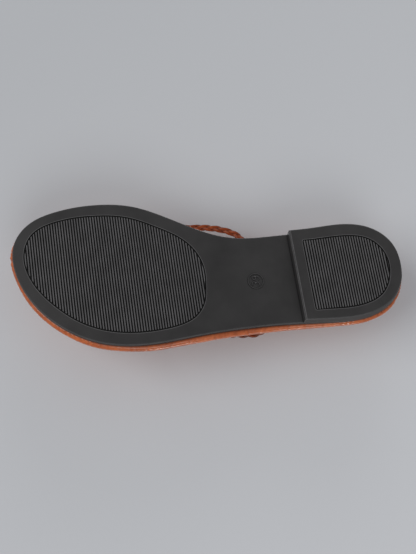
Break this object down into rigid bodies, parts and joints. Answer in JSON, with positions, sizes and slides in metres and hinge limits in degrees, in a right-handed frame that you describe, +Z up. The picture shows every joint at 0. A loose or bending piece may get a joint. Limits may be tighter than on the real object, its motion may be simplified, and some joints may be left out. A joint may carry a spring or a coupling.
{
  "type": "flip flop",
  "caption": "Right-foot flat leather thong sandal with a ribbed black rubber sole and low heel block, a rolled tan leather footbed edge and braided straps.",
  "frame": {"origin": "bottom centre of the bounding box, on the ground the sandal stands on", "axes": "+Z up from the ground, +Y from the toe to the heel, +X towards the inner side of the foot"},
  "size_m": [0.0962, 0.2536, 0.0445],
  "materials": {
    "sole_rubber": "matte moulded",
    "tan_leather": "semi-gloss, rolled edge",
    "braid_leather": "semi-gloss, plaited",
    "foam": "open-cell latex foam",
    "fibreboard": "pressed",
    "thread": "waxed"
  },
  "bodies": {
    "root": {"outsole": "sole_rubber", "heel_block": "sole_rubber", "bottom_filler": "foam", "insole_board": "fibreboard", "footbed_foam": "foam", "footbed_cover": "tan_leather", "medial_strap": "braid_leather", "lateral_strap": "braid_leather", "toe_post": "tan_leather", "toe_keeper": "tan_leather", "toe_post_tab": "tan_leather", "medial_strap_tab": "braid_leather", "lateral_strap_tab": "braid_leather"}
  },
  "joints": []
}
